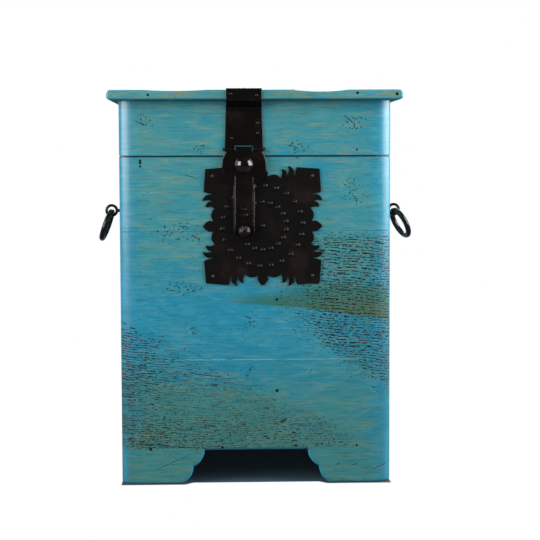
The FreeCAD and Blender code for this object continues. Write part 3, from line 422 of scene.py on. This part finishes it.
def glazed_paint(s, along, across, share):
    """Turquoise paint under a thin green glaze, brushed along the grain; edges are rubbed back to blue,
    rounded edges get a painted pale sheen, and the paint is darker towards the bottom.
    """
    broad = s.noise(along / 150.0, across / 80.0, detail=2.0)
    cloud = s.noise(along / 60.0 + 7.0, across / 16.0, detail=5.0, rough=0.65, warp=0.6)
    brush = s.noise(along / 60.0, across / 3.4, detail=4.0, rough=0.65)
    fine = s.noise(along / 14.0 + 3.0, across / 1.7, detail=3.0, rough=0.6)
    mottle = s.noise(along / 18.0 + 5.0, across / 9.0, detail=4.0, rough=0.65, warp=0.8)
    worn = s.noise(along / 42.0 + 17.0, across / 3.2, detail=5.0, rough=0.7)
    grain = s.noise(along / 100.0 + 23.0, across / 5.0, detail=4.0, rough=0.62, warp=0.4)
    flat = abs(s.nx).most(abs(s.ny)).most(abs(s.nz)).rise(0.80, 0.985)
    glaze = share + (broad - 0.5) * 1.1 + (cloud - 0.5) * 1.6 + (mottle - 0.5) * 1.0
    glaze = glaze + (brush - 0.5) * 0.9 + (fine - 0.5) * 0.8
    colour = s.mix((glaze * (flat * 0.7 + 0.3)).rise(-0.15, 1.15), BLUE, GLAZED)
    streak = (grain * 0.7 + cloud * 0.45 + share * 0.12).rise(0.60, 0.86) * flat
    colour = s.mix(streak * 0.22, colour, OCHRE)
    vein = s.noise(along / 54.0 + 41.0, across / 3.0, detail=3.0, rough=0.6).rise(0.54, 0.72)
    vein = vein * cloud.rise(0.46, 0.62) * flat
    colour = s.mix(vein * ((share - 0.1).least(0.6).most(0.0) * 0.75 + 0.1), colour, OCHRE)
    rubbed = (cloud * 0.6 + mottle * 0.4 + broad * 0.3 - glaze * 0.12).rise(0.54, 0.80)
    # Pale blue in random rubbed patches, and a painted sheen on the rounded edges
    colour = s.mix(rubbed * 0.45 + (1.0 - flat) * 0.2, colour, RUBBED_BLUE_AND_SHEEN)
    colour = s.mix(worn.rise(0.56, 0.82) * 0.35, colour, PALE_PAINT)
    # Darker towards the bottom, with darker random patches; none on the rounded edges
    low_dark_and_grime = s.z.rise(330.0, 60.0) * 0.26 + (broad - 0.5) * 0.2 + worn.rise(0.48, 0.24) * 0.6
    return s.mix(low_dark_and_grime * flat, colour, GRIME_AND_SHADE), brush, fine, flat


def smear(s, colour, brush):
    """An arched olive smear across the right of the front, with a sharp lower edge."""
    wobble = (brush - 0.5) * 14.0
    lower = SMEAR_Z - s.x * SMEAR_FALL - s.x * s.x * SMEAR_BOW
    above = s.z - lower + wobble * 0.35
    thick = s.x.rise(-40.0, 200.0) * 48.0 + 12.0
    mask = above.rise(-2.5, 3.0) * (above - thick + wobble).rise(14.0, -16.0)
    mask = mask * s.x.rise(-70.0, 5.0) * front_only(s)
    ripple = s.noise(s.x / 60.0, s.z / 5.0, detail=3.0)
    tone = s.mix((s.x / 240.0 + ripple * 0.6 - above * 0.012).rise(0.35, 1.1), SMEAR_GREEN, SMEAR_BROWN)
    return s.mix(mask * (ripple * 0.4 + 0.62 - above * 0.004), colour, tone)


def inside(s):
    """1 on faces inside the chest and the lid, which are bare wood."""
    within_x = abs(s.x).rise(INNER_X + 1.0, INNER_X + 0.5)
    within_y = s.y.rise(INNER_FRONT_Y - 1.0, INNER_FRONT_Y - 0.5)
    within_y = within_y * s.y.rise(INNER_BACK_Y + 1.0, INNER_BACK_Y + 0.5)
    within_z = s.z.rise(LID_Z + 1.0, LID_Z + 0.5) * s.z.rise(FLOOR_BOARD_Z - 0.5, FLOOR_BOARD_Z)
    return within_x * within_y * within_z


def wood_grain(s, along, across):
    """Bare pine: rings drawn out along the grain, with a fine fibre over them."""
    wave = s.noise(along / 260.0, across / 30.0, detail=3.0, warp=0.6)
    rings = (wave * 46.0 + across / 9.0).math("SINE")
    fibre = s.noise(along / 60.0, across / 0.9, detail=3.0, rough=0.6)
    return s.mix((rings * 0.3 + fibre * 0.9).rise(0.0, 1.0), BARE_PALE, BARE_DARK), fibre


def painted_wall():
    """The body and the lid rim: varnished paint outside, with the front's marks, painted shade in the seam,
    nail holes and lower corners, and bare wood inside.
    """
    s = Surface("painted_wall")
    along = s.x + s.y
    mark, rust, combed = comb(s)
    colour, brush, fine, _ = glazed_paint(s, along, s.z, glaze_share(s) + combed * 0.25)
    colour = smear(s, colour, brush)
    # The rounded edge of the cut-out: rubbed paint and a painted sheen
    cut_edge_wear_and_sheen = s.z.rise(FLOOR_BOARD_Z + CUT_EDGE_H, FLOOR_BOARD_Z)
    cut_edge_wear_and_sheen = cut_edge_wear_and_sheen * abs(s.ny).rise(0.98, 0.7) * front_only(s)
    colour = s.mix(cut_edge_wear_and_sheen * 0.8, colour, RUBBED_BLUE_AND_SHEEN)
    # Painted shade darkens the lower rounded corners, where the side lamps light them
    painted_shade_low_corner = (SIDE_X - abs(s.x)).rise(30.0, 4.0) * s.z.rise(400.0, 220.0)
    colour = s.mix(combed * 0.16 + painted_shade_low_corner * 0.3, colour, GRIME_AND_SHADE)
    colour = s.mix(mark, colour, s.mix(rust * 0.5, MARK_AND_SHADE_BROWN, COMB_RUST))
    joint = abs(s.z - LOW_JOINT_Z).rise(1.3, 0.5) * front_only(s)
    joint = joint * s.noise(s.x / 30.0, 4.0, detail=3.0).rise(0.32, 0.52)
    joint = joint * abs(s.x - 20.0).rise(200.0, 140.0)
    colour = s.mix(joint * 0.6, colour, JOINT_PALE)
    # Painted shade: a dark line where the lid rim meets the body
    seam_shade = abs(s.z - SEAM_Z + SEAM_DROP).rise(SEAM_HALF_W + 0.5, SEAM_HALF_W - 0.3)
    meeting = abs(s.nz).rise(0.85, 0.95) * abs(s.z - SEAM_Z).rise(4.0, 3.0)
    colour = s.mix(seam_shade * 0.85, colour, MARK_AND_SHADE_BROWN)
    pit = pits(s, s.z)
    colour = s.mix(pit * 0.9, colour, MARK_AND_SHADE_BROWN)
    lines = strongest([scratch(s, *line) for line in SCRATCHES])
    # Painted shade: the nail holes are black spots in the colour
    nail_hole_shade = strongest([spot(s, s.z, *hole) for hole in NAIL_HOLES])
    colour = s.mix(lines * 0.85 * front_only(s), colour, MARK_AND_SHADE_BROWN)
    colour = s.mix(nail_hole_shade * front_only(s), colour, HOLE_SHADE_BLACK)
    on_side = abs(s.x).rise(INNER_X - 2.0, INNER_X - 1.0)
    on_side = on_side * s.y.rise(INNER_FRONT_Y - 0.5, INNER_FRONT_Y)
    on_side = on_side * s.y.rise(INNER_BACK_Y + 0.5, INNER_BACK_Y)
    bare, _ = wood_grain(s, along, s.z + s.y + (s.x - s.y) * on_side)
    unpainted = inside(s).most(meeting)
    colour = s.mix(unpainted, colour, bare)
    roughness = mark.most(pit).most(seam_shade) * 0.35 + brush * 0.14 + unpainted * 0.35 + 0.22
    height = fine * 0.12 + brush * 0.10 - mark * 0.55 - pit * 0.5 + 0.6
    return s.finish(colour, roughness, height, PAINT_RELIEF, gloss=0.25, varnish=1.0)


def painted_lid():
    """The top boards of the lid: paint with a worn front edge, and bare wood underneath."""
    s = Surface("painted_lid")
    across = s.z - s.y
    on_edge = (s.y - LID_FRONT_Y).rise(3.0, 1.0)
    colour, brush, fine, flat = glazed_paint(s, s.x, across, on_edge * 0.2 + 0.75)
    band = s.noise(s.x / 55.0 + 11.0, across / 3.2, detail=3.0, rough=0.6, warp=0.6)
    colour = s.mix(on_edge * flat * band.rise(0.46, 0.64) * 0.62, colour, OCHRE)
    colour = s.mix(on_edge * band.rise(0.44, 0.30) * 0.7, colour, RUBBED_BLUE_AND_SHEEN)
    colour = s.mix(on_edge * abs(s.x).rise(180.0, 110.0) * 0.16, colour, GRIME_AND_SHADE)
    split = strongest([abs(s.x - place).rise(1.2, 0.4) for place in LID_EDGE_SPLITS])
    colour = s.mix(split * on_edge * s.z.rise(LID_TOP_Z - 5.0, LID_TOP_Z - 8.0) * 0.5, colour, GRIME_AND_SHADE)
    pit = pits(s, across)
    colour = s.mix(pit * 0.9, colour, MARK_AND_SHADE_BROWN)
    # Painted shade: the nail holes in the lid edge are black spots in the colour
    nail_hole_shade = strongest([spot(s, s.z, *hole) for hole in LID_EDGE_HOLES])
    colour = s.mix(nail_hole_shade * on_edge, colour, HOLE_SHADE_BLACK)
    bare, _ = wood_grain(s, s.x, across)
    colour = s.mix(inside(s), colour, bare)
    roughness = pit * 0.35 + brush * 0.14 + s.nz.rise(-0.3, -0.7) * 0.45 + 0.24
    height = fine * 0.12 + brush * 0.10 - pit * 0.5 + 0.6
    return s.finish(colour, roughness, height, PAINT_RELIEF)


def bare_wood():
    """Stained pine, for the floor and the blocks in the feet."""
    s = Surface("bare_wood")
    colour, fibre = wood_grain(s, s.x, s.y + s.z)
    stain = s.lumps(60.0).rise(0.45, 0.75)
    colour = s.mix(stain * 0.5, colour, BARE_DARK)
    return s.finish(colour, fibre * 0.2 + 0.62, fibre, 0.5)


def black_iron(name, dullness, gloss, dent, edge):
    """Blackened iron; dent is the depth of the hammer marks and edge rounds sharp edges, in millimetres."""
    s = Surface(name)
    dents = s.lumps(9.0, detail=1.0)
    grit = s.lumps(1.6, detail=2.0)
    worn = s.lumps(46.0, detail=3.0).rise(0.5, 0.72)
    colour = s.mix(worn * 0.7 + grit * 0.15, IRON_BLACK, IRON_BROWN)
    roughness = grit * 0.12 + worn * 0.1 + dullness
    return s.finish(colour, roughness, dents + grit * 0.03, dent, gloss=gloss, edge=edge)


def polished_iron():
    """The stud, rubbed bright by hands."""
    s = Surface("polished_iron")
    grit = s.lumps(2.5, detail=2.0)
    colour = s.mix(s.lumps(12.0).rise(0.4, 0.7), IRON_BLACK, IRON_BROWN)
    return s.finish(colour, grit * 0.1 + 0.05, grit, 0.15, gloss=0.8)


def forged_iron():
    """Iron left rough from the hammer, for the knob and the rivets."""
    s = Surface("forged_iron")
    dents = s.lumps(4.5, detail=2.0)
    grit = s.lumps(1.2, detail=2.0)
    colour = s.mix((dents * 0.8 + grit * 0.4).rise(0.55, 0.9), IRON_BLACK, IRON_RED)
    return s.finish(colour, grit * 0.25 + 0.14, dents + grit * 0.15, 2.6, gloss=0.4)


def rusty_nail(name, pale):
    """Rusty iron, from dark to the pale colour given."""
    s = Surface(name)
    grit = s.lumps(1.1, detail=3.0)
    blot = s.lumps(14.0)
    colour = s.mix((grit * 0.7 + blot * 0.6).rise(0.45, 0.9), RUST_DARK, pale)
    return s.finish(colour, grit * 0.3 + 0.4, grit, 0.4)


def dress():
    """Gives every CAD node its finish."""
    wall = painted_wall()
    lid = painted_lid()
    bare = bare_wood()
    iron = black_iron("black_iron", dullness=0.18, gloss=0.5, dent=0.25, edge=2.0)
    plate = black_iron("plate_iron", dullness=0.34, gloss=0.28, dent=0.5, edge=1.6)
    rough = forged_iron()
    polished = polished_iron()
    nails = rusty_nail("rusty_nail", RUST_LIGHT)
    dim_nails = rusty_nail("dim_nail", RUST_DIM)
    for name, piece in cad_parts.items():
        if name.startswith("lid_board"):
            finish = lid
        elif name.startswith(("floor_", "foot_block")):
            finish = bare
        elif "board" in name or "rail" in name:
            finish = wall
        elif name in ("carcass_nails", "lid_nails"):
            finish = nails
        elif name == "lock_plate":
            finish = plate
        elif name == "lock_plate_nails":
            finish = dim_nails
        elif name in ("hasp_lift_knob", "hasp_rivets"):
            finish = rough
        elif name == "hasp_stud":
            finish = polished
        else:
            finish = iron
        piece.data.materials.clear()
        piece.data.materials.append(finish)


# Studio, in metres
CAMERA_PLACE = Vector((-0.0605, FRONT_Y / MM - 2.724, 0.604))
CAMERA_YAW = math.radians(1.83)
CAMERA_DOWN = math.radians(4.31)
CAMERA_ROLL = math.radians(0.2)
CAMERA_LENS = 98.82
CAMERA_SENSOR = 36.0
WORLD_FILL = 0.26
# Linear colours of the floor: in the open, and under the chest, painted darker and bluish there as shade
# and as light bounced off the paint
FLOOR_GREY = (0.08, 0.08, 0.08, 1.0)
FLOOR_UNDER_SHADE = (0.05, 0.09, 0.125, 1.0)
# A painted glow over the whole floor, in place of the faint light that is left deep under the chest
FLOOR_PAINTED_GLOW = (0.003, 0.005, 0.0066, 1.0)
# How far behind the front the dark floor under the chest begins, in millimetres
SHADE_SETBACK = 14.0
# How far the contact shade reaches in front of the feet, and half the width between them, in millimetres
FOOT_SHADE = 2.0
CUT_HALF_W = 125.0
# The floor itself, in metres
FLOOR_HALF_W = 6.0
FLOOR_ROUGHNESS = 0.9
FLOOR_GLOSS = 0.1
# Share of white that shiny surfaces mirror: the floor and the air behind the chest, and the air elsewhere
FLOOR_MIRRORED = 0.35
BACK_MIRRORED = 0.33
FRONT_MIRRORED = 0.02
# Soft boxes: name, place, aim, width, height, watts, and whether shiny surfaces mirror them
SOFT_BOXES = (
    ("low_box", (0.0, -2.9, 0.2), (0.0, 0.0, 0.05), 0.6, 0.2, 2.4, False),
    ("left_box", (-2.0, -1.3, 1.25), (-0.2, -0.2, 0.9), 1.5, 1.6, 58.0, True),
    ("right_box", (1.75, -0.55, 1.25), (0.2, -0.15, 0.9), 1.7, 1.6, 72.0, True),
    ("back_box", (0.4, 2.7, 1.9), (0.0, 0.1, 0.5), 2.4, 1.8, 60.0, True),
    ("front_box", (-0.1, -2.9, 1.5), (0.0, -0.1, 0.45), 2.4, 1.2, 14.6, False),
)


def camera():
    """The photo's view: nearly level, a little left of the middle."""
    data = bpy.data.cameras.new("camera")
    data.lens = CAMERA_LENS
    data.sensor_width = CAMERA_SENSOR
    piece = bpy.data.objects.new("camera", data)
    piece.location = CAMERA_PLACE
    look = Vector((
        math.sin(CAMERA_YAW) * math.cos(CAMERA_DOWN),
        math.cos(CAMERA_YAW) * math.cos(CAMERA_DOWN),
        -math.sin(CAMERA_DOWN),
    ))
    turn = look.to_track_quat("-Z", "Y") @ Quaternion((0.0, 0.0, 1.0), -CAMERA_ROLL)
    piece.rotation_euler = turn.to_euler()
    bpy.context.scene.collection.objects.link(piece)
    bpy.context.scene.camera = piece


def softbox(name, place, aim, width, height, watts, mirrored):
    """A rectangular light that the camera does not see."""
    data = bpy.data.lights.new(name, "AREA")
    data.shape = "RECTANGLE"
    data.size = width
    data.size_y = height
    data.energy = watts
    piece = bpy.data.objects.new(name, data)
    piece.location = place
    piece.rotation_euler = (Vector(aim) - Vector(place)).to_track_quat("-Z", "Y").to_euler()
    piece.visible_camera = False
    piece.visible_glossy = mirrored
    bpy.context.scene.collection.objects.link(piece)


def studio_floor():
    """A pale floor that is white to the camera in the open and keeps the shadow under the chest, with
    painted shade and bounce light there and a faint painted glow all over.
    """
    half = FLOOR_HALF_W
    mesh = bpy.data.meshes.new("floor")
    corners = [(-half, -half, 0.0), (half, -half, 0.0), (half, half, 0.0), (-half, half, 0.0)]
    mesh.from_pydata(corners, [], [(0, 1, 2, 3)])
    piece = bpy.data.objects.new("floor", mesh)
    bpy.context.scene.collection.objects.link(piece)
    s = Surface("studio_floor")
    tree = s.tree
    # Painted shade and bounce light under the chest: a darker, bluish floor colour
    under = abs(s.x).rise(SIDE_X, SIDE_X - 20.0) * s.y.rise(FRONT_Y, FRONT_Y + 10.0)
    plug(tree, s.mix(under, FLOOR_GREY, FLOOR_UNDER_SHADE), s.shader.inputs["Base Color"])
    s.shader.inputs["Roughness"].default_value = FLOOR_ROUGHNESS
    # Painted glow: the floor emits a faint bluish light
    s.shader.inputs["Emission Color"].default_value = FLOOR_PAINTED_GLOW
    s.shader.inputs["Emission Strength"].default_value = 1.0
    s.shader.inputs["Specular IOR Level"].default_value = FLOOR_GLOSS
    glow = s.add("ShaderNodeEmission")
    path = s.add("ShaderNodeLightPath")
    behind_chest = s.y.rise(BACK_Y, BACK_Y + 400.0)
    seen = Field(tree, path.outputs["Is Glossy Ray"]) * behind_chest * FLOOR_MIRRORED
    seen = seen.most(Field(tree, path.outputs["Is Camera Ray"]))
    seen = seen.most(Field(tree, path.outputs["Is Transmission Ray"]))
    by_foot = abs(s.x).rise(CUT_HALF_W - 10.0, CUT_HALF_W + 10.0)
    shade_front_y = FRONT_Y + SHADE_SETBACK - by_foot * (SHADE_SETBACK + FOOT_SHADE)
    out_x = (abs(s.x) - SIDE_X).most(0.0) * 3.0
    out_y = (shade_front_y - s.y).most(s.y - BACK_Y).most(0.0)
    away = (out_x * out_x + out_y * out_y).math("SQRT")
    open_floor = away.rise(0.5, 5.0)
    blend = s.add("ShaderNodeMixShader")
    plug(tree, seen * open_floor, blend.inputs["Fac"])
    tree.links.new(s.shader.outputs[0], blend.inputs[1])
    tree.links.new(glow.outputs[0], blend.inputs[2])
    tree.links.new(blend.outputs[0], tree.nodes["Material Output"].inputs["Surface"])
    mesh.materials.append(s.material)


def studio_world():
    """White behind the chest, dark behind the camera, with an even fill on everything."""
    world = bpy.data.worlds.new("studio")
    world.use_nodes = True
    bpy.context.scene.world = world
    tree = world.node_tree
    back = tree.nodes["Background"]
    back.inputs["Color"].default_value = (1.0, 1.0, 1.0, 1.0)
    place = tree.nodes.new("ShaderNodeTexCoord")
    parts = tree.nodes.new("ShaderNodeSeparateXYZ")
    tree.links.new(place.outputs["Generated"], parts.inputs[0])
    path = tree.nodes.new("ShaderNodeLightPath")
    camera_ray = Field(tree, path.outputs["Is Camera Ray"])
    glossy_ray = Field(tree, path.outputs["Is Glossy Ray"])
    clear_ray = Field(tree, path.outputs["Is Transmission Ray"])
    behind_chest = Field(tree, parts.outputs["Y"]).rise(-0.15, 0.25)
    glossy = glossy_ray * (behind_chest * BACK_MIRRORED + FRONT_MIRRORED)
    seen = camera_ray.most(clear_ray)
    other = 1.0 - seen.most(glossy_ray)
    plug(tree, seen + glossy + other * WORLD_FILL, back.inputs["Strength"])


def studio():
    studio_world()
    studio_floor()
    for box in SOFT_BOXES:
        softbox(*box)
    camera()


dress()
studio()
bpy.context.scene.view_settings.view_transform = "Standard"
